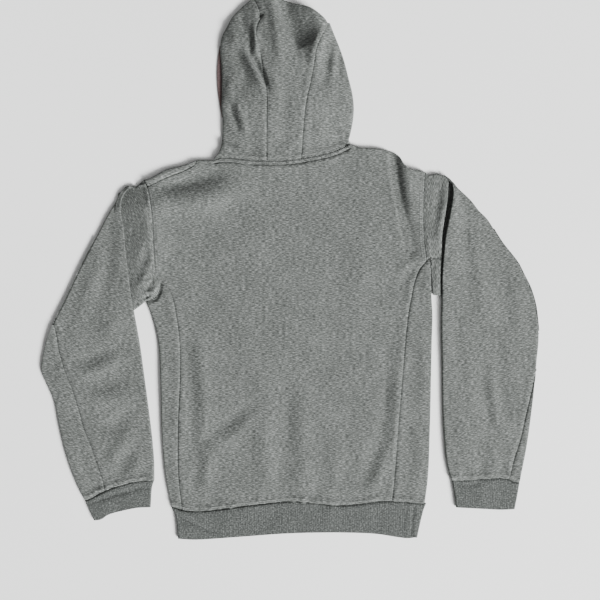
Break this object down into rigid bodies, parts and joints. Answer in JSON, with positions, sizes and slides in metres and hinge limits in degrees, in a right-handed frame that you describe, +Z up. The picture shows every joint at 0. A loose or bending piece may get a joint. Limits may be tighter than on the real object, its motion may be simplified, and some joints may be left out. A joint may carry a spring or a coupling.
{
  "type": "pullover hoodie, laid flat, back up",
  "caption": "Plain heather grey fleece pullover hoodie laid flat on its front, sleeves down at its sides and hood up, with ribbed cuffs and waistband and a three-piece hood",
  "frame": {"origin": "middle of the garment's footprint, on the surface that it lies on", "axes": "+Z up from the surface; +Y from the hem to the hood; +X to the right of someone who looks down at the back with the hood away from them"},
  "size_m": [0.9222, 1.0106, 0.0261],
  "materials": {
    "fleece": "heather grey cotton and polyester fleece, short light and dark flecks, soft matt face",
    "rib": "heather grey rib knit, slightly darker and smoother than the fleece",
    "lining": "thin dark reddish jersey lining"
  },
  "bodies": {
    "root": {"front_panel": "fleece", "back_panel": "fleece", "side_panel_left": "fleece", "side_panel_right": "fleece", "sleeve_left_back": "fleece", "sleeve_left_front": "fleece", "sleeve_right_back": "fleece", "sleeve_right_front": "fleece", "hood_left": "fleece", "hood_centre": "fleece", "hood_right": "fleece", "waistband": "rib", "cuff_left": "rib", "cuff_right": "rib", "hood_lining_edge": "lining"}
  },
  "joints": []
}
